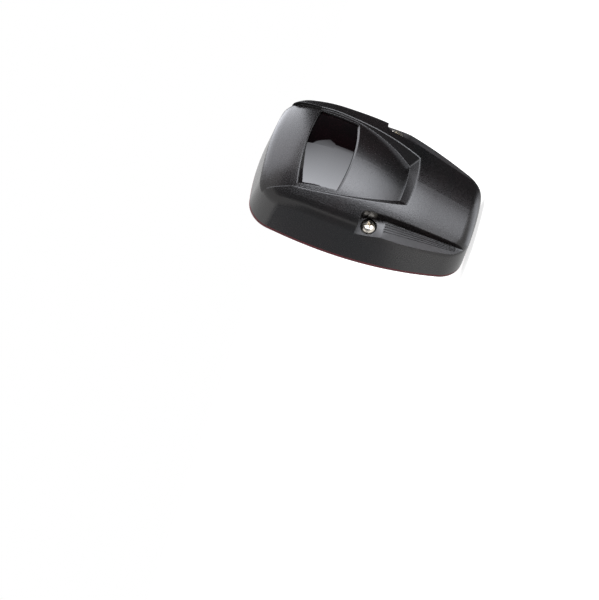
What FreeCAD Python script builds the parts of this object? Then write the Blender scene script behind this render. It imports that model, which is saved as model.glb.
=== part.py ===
import FreeCAD, Part
import math
import os
import Sketcher

# Gate photocell, receiver head for a wall or a post, in millimetres.
# X runs to the right seen from the front, Z runs up, the wall is the plane Y = 0 and the front faces -Y.
# Z = 0 is the level of the two cover screws.

SIZES = [
    # well past the housing on every side
    ("reach", 70.0),
    # rear outline of the housing
    ("rim_half_width", 29.8),
    ("widest_level", 12.0),
    ("rim_upper_radius", 200.0),
    ("rim_lower_radius", 165.0),
    ("top_level", 51.5),
    ("top_radius", 110.0),
    ("foot_level", -44.7),
    ("foot_radius", 180.0),
    ("corner_radius", 12.0),
    # the walls lean inwards to a smaller outline ahead of the front
    ("wall_overrun", 6.0),
    ("side_lean", 1.3),
    ("end_lean", 2.7),
    ("front_upper_radius", 600.0),
    ("front_lower_radius", 122.0),
    # front surface, turned about an upright axis behind the wall
    ("crown_axis", 24.0),
    ("front_depth", 32.4),
    ("bend_level", -3.0),
    ("bend_radius", 140.0),
    ("front_slope", 16.0),
    ("dome_level", 24.0),
    ("dome_radius", 50.0),
    ("dome_overrun", 4.0),
    ("shoulder_radius", 7.0),
    ("wall_thickness", 1.8),
    # joint between base, seal and cover
    ("flange_thickness", 0.9),
    ("seal_thickness", 0.6),
    ("plate_thickness", 2.2),
    ("joint_clearance", 0.3),
    # sunken tray on the front
    ("tray_foot_setback", 7.6),
    ("tray_foot_level", -9.6),
    ("tray_foot_half_width", 9.9),
    ("tray_top_half_width", 21.0),
    ("tray_top_level", 44.0),
    ("tray_side_radius", 450.0),
    ("tray_sink", 2.0),
    ("tray_height", 14.0),
    ("tray_foot_angle", 39.5),
    ("tray_top_angle", 40.0),
    ("tray_corner", 1.2),
    ("tray_ridge_level", 18.0),
    ("tray_floor_radius", 85.0),
    # strip over the dome
    ("strip_step", 0.8),
    ("strip_fade", 0.3),
    ("strip_dome_radius", 40.0),
    ("strip_foot_half_width", 21.3),
    ("strip_foot_level", 34.0),
    ("strip_top_half_width", 25.6),
    # softened edges of tray and window
    ("rim_softness", 0.6),
    ("ledge_chamfer", 0.8),
    ("hood_chamfer", 0.5),
    # window
    ("window_setback", 1.7),
    ("window_thickness", 2.0),
    ("window_foot_half_width", 17.8),
    ("window_foot_level", 17.6),
    ("window_foot_radius", 80.0),
    ("window_top_half_width", 19.4),
    ("window_top_level", 33.4),
    ("window_top_radius", 95.0),
    ("window_ledge", 1.6),
    ("window_clearance", 0.1),
    ("ledge_thickness", 1.2),
    # screw channels
    ("screw_inset", 5.4),
    ("channel_setback", 10.8),
    ("channel_top_level", 4.8),
    ("channel_top_inset", 8.2),
    ("channel_foot_inset", 14.4),
    ("channel_foot_level", -50.0),
    ("channel_bend_level", -6.0),
    ("channel_rise", 6.5),
    ("channel_slope", 11.4),
    ("channel_tilt", 12.0),
    ("channel_corner", 3.0),
    ("flute_depth", 0.25),
    ("flute_width", 0.45),
    ("flute_top_level", -6.5),
    ("flute_foot_level", -38.0),
    ("flute_top_span", 5.6),
    ("flute_foot_span", 2.6),
    # cover screws, their seals and columns
    ("screw_radius", 1.5),
    ("screw_length", 14.0),
    ("screw_head_radius", 2.8),
    ("screw_head_height", 2.3),
    ("screw_clearance", 0.2),
    ("thread_clearance", 0.03),
    ("counterbore_radius", 3.4),
    ("counterbore_depth", 2.9),
    ("ring_radius", 2.9),
    ("ring_thickness", 0.6),
    ("column_radius", 3.2),
    ("column_foot", 8.5),
    ("boss_radius", 3.2),
    ("boss_flat_inset", 3.2),
    ("pilot_floor", 3.4),
    # wall screw holes and cable entry in the base
    ("wall_hole_radius", 2.2),
    ("wall_hole_upper_level", 43.0),
    ("wall_hole_spacing", 80.0),
    ("cable_level", -25.5),
    ("cable_bore_radius", 3.0),
    ("cable_hole_radius", 4.5),
    ("grommet_clearance", 0.1),
    ("grommet_flange_radius", 6.0),
    ("grommet_flange_thickness", 1.0),
    ("grommet_setback", 0.2),
    ("grommet_collar_radius", 5.6),
    ("grommet_tip_radius", 3.8),
    ("grommet_tip_length", 3.4),
    # circuit board and its fixing
    ("board_level", 9.0),
    ("board_thickness", 1.6),
    ("board_half_width", 19.5),
    ("board_foot_level", -18.0),
    ("board_top_level", 36.0),
    ("board_corner", 1.5),
    ("post_radius", 2.6),
    ("post_offset", 16.3),
    ("post_upper_level", 33.0),
    ("post_lower_level", -14.5),
    ("peg_radius", 1.3),
    ("peg_height", 1.4),
    ("board_screw_radius", 1.1),
    ("board_screw_length", 5.0),
    ("board_screw_head_radius", 2.1),
    ("board_screw_head_height", 1.5),
    ("board_hole_clearance", 0.2),
    # optics
    ("optic_level", 25.5),
    ("diode_radius", 2.5),
    ("diode_collar", 0.4),
    ("diode_length", 5.6),
    ("holder_radius", 9.3),
    ("holder_bore_radius", 7.6),
    ("lens_radius", 8.3),
    ("lens_edge", 1.6),
    ("lens_bulge", 2.8),
    ("lens_clearance", 0.1),
    ("lens_gap", 2.1),
    # terminal block
    ("terminal_level", -12.3),
    ("terminal_pitch", 5.0),
    ("terminal_height", 8.0),
    ("terminal_depth", 10.0),
    ("terminal_screw_radius", 1.6),
    ("terminal_screw_length", 2.0),
    ("terminal_bore_radius", 1.9),
    ("terminal_bore_depth", 3.2),
    ("clamp_width", 3.4),
    ("clamp_length", 4.0),
    ("clamp_wall", 0.5),
    # parts on the board
    ("relay_width", 10.0),
    ("relay_depth", 11.4),
    ("relay_height", 15.5),
    ("relay_offset", -12.8),
    ("relay_level", 4.2),
    ("relay_corner", 0.6),
    ("capacitor_radius", 4.0),
    ("capacitor_length", 11.5),
    ("capacitor_offset", 12.5),
    ("capacitor_level", 7.2),
    ("varistor_radius", 4.2),
    ("varistor_thickness", 3.2),
    ("varistor_offset", 3.0),
    ("varistor_level", 2.0),
    ("lead_radius", 0.4),
    ("lead_rise", 1.2),
    ("rectifier_width", 4.6),
    ("rectifier_depth", 2.5),
    ("rectifier_height", 6.8),
    ("rectifier_offset", 11.5),
    ("rectifier_level", -2.6),
    ("chip_width", 3.9),
    ("chip_depth", 1.5),
    ("chip_height", 5.0),
    ("chip_offset", 14.6),
    ("chip_level", 20.5),
    ("chip_leg_reach", 1.0),
    ("chip_leg_pitch", 1.27),
    ("chip_leg_width", 0.45),
    ("lamp_radius", 1.5),
    ("lamp_collar", 0.35),
    ("lamp_length", 3.8),
    ("lamp_offset", -14.6),
    ("lamp_level", 18.5),
    ("header_pitch", 2.54),
    ("header_base", 2.5),
    ("header_pin", 0.64),
    ("header_pin_length", 8.5),
    ("header_offset", -14.6),
    ("header_level", 26.0),
    ("cap_height", 5.6),
    ("pin_clearance", 0.04),
    ("bead_length", 2.0),
    ("bead_width", 1.25),
    ("resistor_depth", 0.5),
    ("ceramic_depth", 0.9),
    ("bead_offset", 14.6),
    ("resistor_level", 27.4),
    ("ceramic_level", 14.2),
    ("bead_pitch", 2.6),
]

os.makedirs("parts", exist_ok=True)
doc = FreeCAD.newDocument("gate_photocell")
sheet = doc.addObject("Spreadsheet::Sheet", "sizes")
for row, (alias, number) in enumerate(SIZES, start=1):
    sheet.set("A%d" % row, alias)
    sheet.set("B%d" % row, str(number))
    sheet.setAlias("B%d" % row, alias)
doc.recompute()

VECTOR = FreeCAD.Vector
BEYOND = "sizes.reach"
RIM = "sizes.flange_thickness + sizes.seal_thickness"
DOME_TOP = "(sizes.top_level + sizes.dome_overrun)"
CHEEK_DOME = "sizes.dome_radius"
STRIP_DOME = "sizes.strip_dome_radius"
TRAY_FOOT_DEPTH = "sizes.front_depth - sizes.tray_foot_setback"
WINDOW_FRONT = "sizes.front_depth - sizes.window_setback"
WINDOW_BACK = WINDOW_FRONT + " - sizes.window_thickness"
SCREW_OFFSET = "(sizes.rim_half_width - sizes.screw_inset)"
CHANNEL_DEPTH = "(sizes.front_depth - sizes.channel_setback)"
SEAT = CHANNEL_DEPTH + " - sizes.counterbore_depth"
FLUTE_SHARES = ("0.2", "0.4", "0.6", "0.8")
PLATE_FRONT = "sizes.flange_thickness + sizes.plate_thickness"
BOARD_FRONT = "sizes.board_level + sizes.board_thickness"


def value(expression):
    """Number that an expression on the sheet stands for."""
    result = sheet.evalExpression(expression)
    return float(getattr(result, "Value", result))


def bind(item, **expressions):
    for name, expression in expressions.items():
        item.setExpression(name, expression)
    return item


def new_body(label):
    item = doc.addObject("PartDesign::Body", label)
    item.Label = label
    return item


def new_sketch(body, role, level="0"):
    """Sketch on one of the body's own planes, moved along the plane's normal by level."""
    sketch = body.newObject("Sketcher::SketchObject", body.Label + "_sketch")
    plane = [item for item in body.Origin.OriginFeatures if item.Role == role][0]
    sketch.AttachmentSupport = [(plane, "")]
    sketch.MapMode = "FlatFace"
    sketch.setExpression("AttachmentOffset.Base.z", level)
    return sketch


def fix_number(sketch, constraint, expression):
    index = sketch.addConstraint(constraint)
    sketch.setExpression("Constraints[%d]" % index, expression)


def draw_loop(sketch, points, arcs=None):
    """Closed loop through points given as expressions; arcs maps an edge to its radius and bulge side."""
    arcs = arcs or {}
    places = [VECTOR(value(across), value(up), 0) for across, up in points]
    ends = []
    for index, start in enumerate(places):
        finish = places[(index + 1) % len(places)]
        if index not in arcs:
            ends.append((sketch.addGeometry(Part.LineSegment(start, finish), False), 1, 2))
            continue
        radius, side = arcs[index]
        size = value(radius)
        chord = finish - start
        left = VECTOR(-chord.y, chord.x, 0).normalize()
        reach = math.sqrt(size * size - chord.Length * chord.Length / 4)
        centre = (start + finish) * 0.5 + left * (side * reach)
        first = math.atan2(start.y - centre.y, start.x - centre.x)
        last = math.atan2(finish.y - centre.y, finish.x - centre.x)
        circle = Part.Circle(centre, VECTOR(0, 0, 1), size)
        if side > 0:
            ends.append((sketch.addGeometry(Part.ArcOfCircle(circle, first, last), False), 1, 2))
        else:
            ends.append((sketch.addGeometry(Part.ArcOfCircle(circle, last, first), False), 2, 1))
        fix_number(sketch, Sketcher.Constraint("Radius", ends[-1][0], size), radius)
    for index, (edge, first, last) in enumerate(ends):
        follower, follower_first, _ = ends[(index + 1) % len(ends)]
        sketch.addConstraint(Sketcher.Constraint("Coincident", edge, last, follower, follower_first))
        across, up = points[index]
        if across == "0":
            sketch.addConstraint(Sketcher.Constraint("PointOnObject", edge, first, -2))
        else:
            fix_number(sketch, Sketcher.Constraint("DistanceX", -1, 1, edge, first, places[index].x), across)
        if up == "0":
            sketch.addConstraint(Sketcher.Constraint("PointOnObject", edge, first, -1))
        else:
            fix_number(sketch, Sketcher.Constraint("DistanceY", -1, 1, edge, first, places[index].y), up)


def draw_outline(sketch, inset, edge="rim"):
    """Outline of the housing at its rim or ahead of its front, moved inwards by inset.

    Each side is two arcs that meet at the widest level.
    """
    lean = "0" if edge == "rim" else "1"
    width = "sizes.rim_half_width - %s * sizes.side_lean - %s" % (lean, inset)
    top = "sizes.top_level - %s * sizes.end_lean" % lean
    foot = "sizes.foot_level + %s * sizes.end_lean" % lean
    upper = "sizes.%s_upper_radius - %s" % (edge, inset)
    lower = "sizes.%s_lower_radius - %s" % (edge, inset)
    level = "sizes.widest_level"
    side = value(width)
    corner = side * 0.8
    right_top = (corner, value(top))
    left_top = (-corner, value(top))
    right_foot = (corner, value(foot))
    left_foot = (-corner, value(foot))
    arcs = [
        ("%s - (%s)" % (width, lower), level, lower, right_foot, (side, value(level))),
        ("%s - (%s)" % (width, upper), level, upper, (side, value(level)), right_top),
        ("0", top + " - sizes.top_radius", "sizes.top_radius - " + inset, right_top, left_top),
        ("%s - (%s)" % (upper, width), level, upper, left_top, (-side, value(level))),
        ("%s - (%s)" % (lower, width), level, lower, (-side, value(level)), left_foot),
        ("0", foot + " + sizes.foot_radius", "sizes.foot_radius - " + inset, left_foot, right_foot),
    ]
    edges = []
    for across, up, radius, start, finish in arcs:
        size = value(radius)
        centre = VECTOR(value(across), value(up), 0)
        circle = Part.Circle(centre, VECTOR(0, 0, 1), size)
        first = math.atan2(start[1] - centre.y, start[0] - centre.x)
        last = math.atan2(finish[1] - centre.y, finish[0] - centre.x)
        arc = sketch.addGeometry(Part.ArcOfCircle(circle, first, last), False)
        fix_number(sketch, Sketcher.Constraint("Radius", arc, size), radius)
        fix_number(sketch, Sketcher.Constraint("DistanceY", -1, 1, arc, 3, centre.y), up)
        if across == "0":
            sketch.addConstraint(Sketcher.Constraint("PointOnObject", arc, 3, -2))
        edges.append(arc)
    for index, arc in enumerate(edges):
        sketch.addConstraint(Sketcher.Constraint("Coincident", arc, 2, edges[(index + 1) % len(edges)], 1))
    for arc, sign in ((edges[0], ""), (edges[3], "-")):
        across = "%s(%s)" % (sign, width)
        fix_number(sketch, Sketcher.Constraint("DistanceX", -1, 1, arc, 2, value(across)), across)
        fix_number(sketch, Sketcher.Constraint("DistanceY", -1, 1, arc, 2, value(level)), level)


def add_pad(body, sketch, length, taper="0", **more):
    pad = body.newObject("PartDesign::Pad", body.Label + "_pad")
    pad.Profile = sketch
    bind(pad, Length=length, TaperAngle=taper)
    for name, setting in more.items():
        setattr(pad, name, setting)
    return pad


def add_loft(body, rear, front):
    loft = body.newObject("PartDesign::AdditiveLoft", body.Label + "_walls")
    loft.Profile = rear
    loft.Sections = [front]
    loft.Ruled = True
    return loft


def soften(body, feature, kind, size, wanted):
    """Fillet or chamfer of the feature's edges that wanted picks."""
    doc.recompute()
    names = ["Edge%d" % (i + 1) for i, edge in enumerate(feature.Shape.Edges) if wanted(edge, feature.Shape)]
    item = body.newObject("PartDesign::" + kind, "%s_%s" % (body.Label, kind.lower()))
    item.Base = (feature, names)
    bind(item, **{"Radius" if kind == "Fillet" else "Size": size})
    return item


def add_fillet(body, feature, radius, wanted):
    return soften(body, feature, "Fillet", radius, wanted)


def where_meet(*forms):
    """Picks the edges that lie on the surfaces of all the forms."""
    def wanted(edge, shape):
        span = edge.LastParameter - edge.FirstParameter
        for share in (0.1, 0.5, 0.9):
            spot = Part.Vertex(edge.valueAt(edge.FirstParameter + share * span))
            if any(form.Shape.Shells[0].distToShape(spot)[0] > 0.001 for form in forms):
                return False
        return True
    return wanted


def runs_along_depth(edge, shape):
    first = edge.valueAt(edge.FirstParameter)
    last = edge.valueAt(edge.LastParameter)
    span = last - first
    return abs(span.y) > 0.9 * span.Length


def is_outline_corner(edge, shape):
    """Edge along the depth between a side and an end, not the seam at the widest level."""
    return runs_along_depth(edge, shape) and abs(edge.BoundBox.Center.z - value("sizes.widest_level")) > 1


def stands_at(across):
    """Picks the edge along the depth at a place across."""
    def wanted(edge, shape):
        return runs_along_depth(edge, shape) and abs(edge.BoundBox.Center.x - value(across)) < 0.01
    return wanted


def is_foot_corner(edge, shape):
    """Slanting corner edge below the middle of the tray."""
    first = edge.valueAt(edge.FirstParameter)
    last = edge.valueAt(edge.LastParameter)
    return abs(last.y - first.y) > 1 and max(first.z, last.z) < 0


def bounds_front(edge, shape):
    """Edge between the turned front surface and a side wall."""
    upright = 0
    for face in shape.ancestorsOfType(edge, Part.Face):
        axis = getattr(face.Surface, "Axis", None)
        if axis is not None and abs(axis.z) > 0.99:
            upright += 1
    return upright == 1


def dome_drop(radius):
    """Fall of a dome of that radius from its start to its top level."""
    return "(%s - sqrt(%s ^ 2 - (%s - sizes.dome_level) ^ 2))" % (radius, radius, DOME_TOP)


def turn_away(body, points, arcs=None):
    """Cut that turns a loop of (depth, level) points about the upright axis behind the wall."""
    sketch = new_sketch(body, "YZ_Plane")
    draw_loop(sketch, [("-(%s)" % depth, level) for depth, level in points], arcs)
    start = value("sizes.crown_axis")
    axis = sketch.addGeometry(Part.LineSegment(VECTOR(start, 0, 0), VECTOR(start, 10, 0)), True)
    sketch.addConstraint(Sketcher.Constraint("Vertical", axis))
    fix_number(sketch, Sketcher.Constraint("DistanceX", -1, 1, axis, 1, start), "sizes.crown_axis")
    groove = body.newObject("PartDesign::Groove", body.Label + "_turned")
    groove.Profile = sketch
    groove.ReferenceAxis = (sketch, ["Axis0"])
    groove.Angle = 360
    return groove


def housing_form(label, inset, front_inset, dome):
    """Solid form of the housing, moved inwards by inset at the sides and front_inset at the front."""
    body = new_body(label)
    rear = new_sketch(body, "XZ_Plane", RIM)
    draw_outline(rear, inset)
    ahead = new_sketch(body, "XZ_Plane", RIM + " + sizes.front_depth + sizes.wall_overrun")
    draw_outline(ahead, inset, "front")
    walls = add_loft(body, rear, ahead)
    add_fillet(body, walls, "sizes.corner_radius - %s" % inset, is_outline_corner)
    tangent = "sizes.bend_radius * tan(sizes.front_slope / 2)"
    front = "sizes.front_depth - %s" % front_inset
    groove = turn_away(
        body,
        [
            ("%s - %s" % (front, dome_drop(dome)), DOME_TOP),
            (front, "sizes.dome_level"),
            (front, "sizes.bend_level + " + tangent),
            (front + " - %s * sin(sizes.front_slope)" % tangent,
             "sizes.bend_level - %s * cos(sizes.front_slope)" % tangent),
            (front + " - (sizes.bend_level + sizes.reach) * tan(sizes.front_slope)", "-" + BEYOND),
            (BEYOND, "-" + BEYOND),
            (BEYOND, DOME_TOP),
        ],
        {0: (dome, 1), 2: ("sizes.bend_radius", 1)},
    )
    add_fillet(body, groove, "sizes.shoulder_radius - %s" % inset, bounds_front)
    return body


def tray_form(label, grow, window_floor):
    """Space in front of the tray floor, widened by grow, with the floor over the window at window_floor."""
    body = new_body(label)
    foot_depth = "%s - %s" % (TRAY_FOOT_DEPTH, grow)
    outlines = []
    for rise in ("-sizes.tray_sink", "sizes.tray_height"):
        spread = "%s + %s * tan(sizes.tray_foot_angle)" % (grow, rise)
        foot_width = "sizes.tray_foot_half_width + " + spread
        top_width = "sizes.tray_top_half_width + %s + %s * tan(sizes.tray_top_angle)" % (grow, rise)
        foot = "sizes.tray_foot_level - (%s)" % spread
        outline = new_sketch(body, "XZ_Plane", "%s + %s" % (foot_depth, rise))
        draw_loop(
            outline,
            [
                ("-(%s)" % foot_width, foot),
                (foot_width, foot),
                (top_width, "sizes.tray_top_level"),
                ("-(%s)" % top_width, "sizes.tray_top_level"),
            ],
            {1: ("sizes.tray_side_radius", 1), 3: ("sizes.tray_side_radius", 1)},
        )
        outlines.append(outline)
    loft = add_loft(body, *outlines)
    add_fillet(body, loft, "sizes.tray_corner + " + grow, is_foot_corner)
    turn_away(
        body,
        [
            ("-sizes.crown_axis + 1", "sizes.foot_level"),
            (foot_depth + " - sizes.tray_foot_setback", "sizes.foot_level"),
            (foot_depth, "sizes.tray_foot_level - " + grow),
            ("sizes.front_depth - sizes.strip_step - " + grow, "sizes.tray_ridge_level - " + grow),
            (window_floor, "sizes.tray_ridge_level + 0.05 - " + grow),
            (window_floor, "sizes.dome_level"),
            ("%s - %s" % (window_floor, dome_drop(STRIP_DOME)), DOME_TOP),
            ("-sizes.crown_axis + 1", DOME_TOP),
        ],
        {2: ("sizes.tray_floor_radius", -1), 5: (STRIP_DOME, -1)},
    )
    return body


def channel_form(label, grow):
    """Space of the right screw channel, widened by grow; its floor falls outwards and to both ends."""
    body = new_body(label)
    sketch = new_sketch(body, "XZ_Plane", "sizes.plate_thickness")
    corner = "sizes.rim_half_width - sizes.channel_top_inset - " + grow
    top = "sizes.channel_top_level + " + grow
    draw_loop(
        sketch,
        [
            (corner, top),
            ("sizes.rim_half_width - sizes.channel_foot_inset - " + grow, "sizes.channel_foot_level"),
            (BEYOND, "sizes.channel_foot_level"),
            (BEYOND, top),
        ],
    )
    pad = add_pad(body, sketch, BEYOND)
    add_fillet(body, pad, "sizes.channel_corner + " + grow, stands_at(corner))
    side = new_sketch(body, "YZ_Plane")
    tilt = FreeCAD.Rotation(VECTOR(0, 1, 0), value("sizes.channel_tilt"))
    side.AttachmentOffset = FreeCAD.Placement(VECTOR(0, 0, 0), tilt)
    side.setExpression("AttachmentOffset.Rotation.Angle", "sizes.channel_tilt")
    depth = "(%s - %s + %s * tan(sizes.channel_tilt))" % (CHANNEL_DEPTH, grow, SCREW_OFFSET)
    floor = "(%s * cos(sizes.channel_tilt))" % depth
    dip = "(%s - sizes.channel_bend_level) * tan(sizes.channel_rise)" % BEYOND
    fall = "(sizes.channel_bend_level + %s) * tan(sizes.channel_slope)" % BEYOND
    draw_loop(
        side,
        [
            ("-(%s - %s)" % (floor, dip), BEYOND),
            ("-" + floor, "sizes.channel_bend_level"),
            ("-(%s - %s)" % (floor, fall), "-" + BEYOND),
            (BEYOND, "-" + BEYOND),
            (BEYOND, BEYOND),
        ],
    )
    pocket = body.newObject("PartDesign::Pocket", label + "_floor")
    pocket.Profile = side
    pocket.Type = 1
    pocket.Midplane = True
    return body


def channel_side(level):
    """Place across of the channel's long wall at a level."""
    return (
        "(sizes.rim_half_width - sizes.channel_top_inset"
        " - (sizes.channel_foot_inset - sizes.channel_top_inset) * (sizes.channel_top_level - %s)"
        " / (sizes.channel_top_level - sizes.channel_foot_level))" % level
    )


def flute_form(label):
    """Thin slats that fan out along the channel floor."""
    body = new_body(label)
    sketch = new_sketch(body, "XZ_Plane", "sizes.board_level")
    half = "sizes.flute_width / 2"
    for share in FLUTE_SHARES:
        top = "%s + %s * sizes.flute_top_span" % (channel_side("sizes.flute_top_level"), share)
        foot = "%s + %s * sizes.flute_foot_span" % (channel_side("sizes.flute_foot_level"), share)
        draw_loop(
            sketch,
            [
                ("%s - %s" % (top, half), "sizes.flute_top_level"),
                ("%s - %s" % (foot, half), "sizes.flute_foot_level"),
                ("%s + %s" % (foot, half), "sizes.flute_foot_level"),
                ("%s + %s" % (top, half), "sizes.flute_top_level"),
            ],
        )
    add_pad(body, sketch, BEYOND)
    return body


def window_form(label, grow, back, front=None):
    """Window outline widened by grow, in front of a turned surface at the depth back, up to one at front."""
    body = new_body(label)
    sketch = new_sketch(body, "XZ_Plane", "sizes.board_level")
    foot_width = "sizes.window_foot_half_width + " + grow
    top_width = "sizes.window_top_half_width + " + grow
    foot = "sizes.window_foot_level - " + grow
    top = "sizes.window_top_level + " + grow
    draw_loop(
        sketch,
        [
            ("-(%s)" % foot_width, foot),
            (foot_width, foot),
            (top_width, top),
            ("-(%s)" % top_width, top),
        ],
        {0: ("sizes.window_foot_radius", 1), 2: ("sizes.window_top_radius", 1)},
    )
    add_pad(body, sketch, "sizes.front_depth")
    trims = [(back, "-sizes.crown_axis + 1")]
    if front:
        trims.append((front, BEYOND))
    for face, far in trims:
        turn_away(
            body,
            [
                (face, "0"),
                (face, "sizes.dome_level"),
                ("%s - %s" % (face, dome_drop(STRIP_DOME)), DOME_TOP),
                (far, DOME_TOP),
                (far, "0"),
            ],
            {1: (STRIP_DOME, -1)},
        )
    return body


def turned(label, points, arcs=None, across="0", up="0"):
    """Round piece turned about an axis along the depth, from (radius, depth) points."""
    body = new_body(label)
    sketch = new_sketch(body, "XY_Plane")
    draw_loop(sketch, [(radius, "-(%s)" % depth) for radius, depth in points], arcs)
    feature = body.newObject("PartDesign::Revolution", label + "_turned")
    feature.Profile = sketch
    feature.ReferenceAxis = (sketch, ["V_Axis"])
    feature.Angle = 360
    body.setExpression("Placement.Base.x", across)
    body.setExpression("Placement.Base.z", up)
    return body


def slab(label, inset, level, thickness):
    """Plate with the outline of the housing, moved inwards by inset."""
    body = new_body(label)
    sketch = new_sketch(body, "XZ_Plane", level)
    draw_outline(sketch, inset)
    pad = add_pad(body, sketch, thickness)
    add_fillet(body, pad, "sizes.corner_radius - (%s)" % inset, is_outline_corner)
    return body


def rounded_block(label, width, thickness, height, corner, across, depth, up):
    """Box centred on across and up, with its four edges along the depth rounded."""
    body = new_body(label)
    sketch = new_sketch(body, "XZ_Plane", depth)
    left = "%s - (%s) / 2" % (across, width)
    right = "%s + (%s) / 2" % (across, width)
    low = "%s - (%s) / 2" % (up, height)
    high = "%s + (%s) / 2" % (up, height)
    draw_loop(sketch, [(left, low), (right, low), (right, high), (left, high)])
    pad = add_pad(body, sketch, thickness)
    add_fillet(body, pad, corner, runs_along_depth)
    return body


def mirrored(label, source):
    item = doc.addObject("Part::Mirroring", label)
    item.Source = source
    item.Base = (0, 0, 0)
    item.Normal = (1, 0, 0)
    return item


def rod(label, radius, length, across="0", depth="0", up="0"):
    """Round bar that starts at a depth and runs towards the front."""
    item = doc.addObject("Part::Cylinder", label)
    item.Label = label
    item.Placement.Rotation = FreeCAD.Rotation(VECTOR(1, 0, 0), 90)
    bind(item, Radius=radius, Height=length)
    item.setExpression("Placement.Base.x", across)
    item.setExpression("Placement.Base.y", "-(%s)" % depth)
    item.setExpression("Placement.Base.z", up)
    return item


def block(label, width, thickness, height, across="0", depth="0", up="0"):
    """Box centred on across and up that starts at a depth and runs towards the front."""
    item = doc.addObject("Part::Box", label)
    item.Label = label
    bind(item, Length=width, Width=thickness, Height=height)
    item.setExpression("Placement.Base.x", "%s - (%s) / 2" % (across, width))
    item.setExpression("Placement.Base.y", "-(%s) - (%s)" % (depth, thickness))
    item.setExpression("Placement.Base.z", "%s - (%s) / 2" % (up, height))
    return item


def joined(label, *items):
    item = doc.addObject("Part::MultiFuse", label)
    item.Label = label
    item.Shapes = list(items)
    return item


def grouped(label, *items):
    item = doc.addObject("Part::Compound", label)
    item.Label = label
    item.Links = list(items)
    return item


def less(label, base, *tools):
    """Base with the tools cut from it one after the other."""
    for index, tool in enumerate(tools):
        item = doc.addObject("Part::Cut", label)
        item.Label = label if index == len(tools) - 1 else "%s_cut_%d" % (label, index)
        item.Base = base
        item.Tool = tool
        base = item
    return base


def common(label, base, tool):
    item = doc.addObject("Part::Common", label)
    item.Label = label
    item.Base = base
    item.Tool = tool
    return item


def pan_screw(label, radius, length, head_radius, head_height, across, seat, up):
    """Pan head screw with a cross recess whose head rests at the depth seat."""
    form = turned(
        label + "_form",
        [
            ("0", "%s - %s" % (seat, length)),
            ("%s * 0.6" % radius, "%s - %s" % (seat, length)),
            (radius, "%s - %s + %s * 0.6" % (seat, length, radius)),
            (radius, seat),
            (head_radius, seat),
            (head_radius, "%s + %s * 0.45" % (seat, head_height)),
            ("%s * 0.62" % head_radius, "%s + %s * 0.92" % (seat, head_height)),
            ("0", "%s + %s" % (seat, head_height)),
        ],
        {5: ("%s * 0.62" % head_radius, -1)},
        across,
        up,
    )
    recess = "%s + %s * 0.4" % (seat, head_height)
    long_side = "%s * 1.1" % head_radius
    short_side = "%s * 0.3" % head_radius
    bars = [
        block(label + "_slot", long_side, head_height, short_side, across, recess, up),
        block(label + "_cross", short_side, head_height, long_side, across, recess, up),
    ]
    return less(label, form, *bars)


def lamp_form(label, radius, collar, length, across, up):
    """Domed diode on a collar that stands on the board."""
    return turned(
        label,
        [
            ("0", BOARD_FRONT),
            ("%s + %s" % (radius, collar), BOARD_FRONT),
            ("%s + %s" % (radius, collar), BOARD_FRONT + " + 1"),
            (radius, BOARD_FRONT + " + 1"),
            (radius, "%s + %s" % (BOARD_FRONT, length)),
            ("0", "%s + %s + %s" % (BOARD_FRONT, length, radius)),
        ],
        {4: (radius, -1)},
        across,
        up,
    )


# Front cover
outer = housing_form("outer_form", "0", "0", CHEEK_DOME)
inner = housing_form("inner_form", "sizes.wall_thickness", "sizes.wall_thickness", STRIP_DOME)
tray = tray_form("tray_space", "0", "sizes.front_depth - sizes.strip_step")
tray_inside = tray_form("tray_wall", "sizes.wall_thickness", WINDOW_BACK + " - sizes.ledge_thickness")
channel = channel_form("channel_space", "0")
channel_inside = channel_form("channel_wall", "sizes.wall_thickness")

strip_body = new_body("strip_space")
strip_sketch = new_sketch(strip_body, "XZ_Plane")
draw_loop(
    strip_sketch,
    [
        ("-sizes.strip_foot_half_width", "sizes.strip_foot_level"),
        ("sizes.strip_foot_half_width", "sizes.strip_foot_level"),
        ("sizes.strip_top_half_width", "sizes.top_level + 4"),
        ("-sizes.strip_top_half_width", "sizes.top_level + 4"),
    ],
)
add_pad(strip_body, strip_sketch, "sizes.front_depth + 4")
strip_floor = housing_form("strip_floor", "-sizes.strip_fade", "sizes.strip_step", STRIP_DOME)
strip = less("strip_cut", strip_body, strip_floor)

seat = window_form("window_seat", "sizes.window_clearance", WINDOW_BACK)
opening = window_form("window_opening", "-sizes.window_ledge", BOARD_FRONT)

cavity = less(
    "cavity", inner, tray_inside, channel_inside, mirrored("channel_wall_left", channel_inside)
)
columns = []
bores = []
for side, sign in (("right", ""), ("left", "-")):
    across = sign + SCREW_OFFSET
    columns.append(
        rod("column_" + side, "sizes.column_radius", CHANNEL_DEPTH + " - sizes.column_foot - 1",
            across, "sizes.column_foot")
    )
    bores.append(rod("counterbore_" + side, "sizes.counterbore_radius", BEYOND, across, SEAT))
    bores.append(
        rod("screw_hole_" + side, "sizes.screw_radius + sizes.screw_clearance", BEYOND, across, "0")
    )
shell = joined("shell", less("hollow_form", outer, cavity), *columns)
flutes = common("flutes", flute_form("flute_slats"), channel_form("flute_space", "sizes.flute_depth"))
cover_form = less(
    "cover_form", shell, tray, strip, channel, mirrored("channel_left", channel), flutes,
    mirrored("flutes_left", flutes), seat, opening, *bores
)


def window_rim(low, high):
    """Picks the rim edges of the window seat across the front, between two levels."""
    meets = where_meet(tray, seat)

    def wanted(edge, shape):
        middle = edge.BoundBox.Center
        across = value("sizes.window_foot_half_width") * 0.7
        return abs(middle.x) < across and value(low) < middle.z < value(high) and meets(edge, shape)
    return wanted


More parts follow.
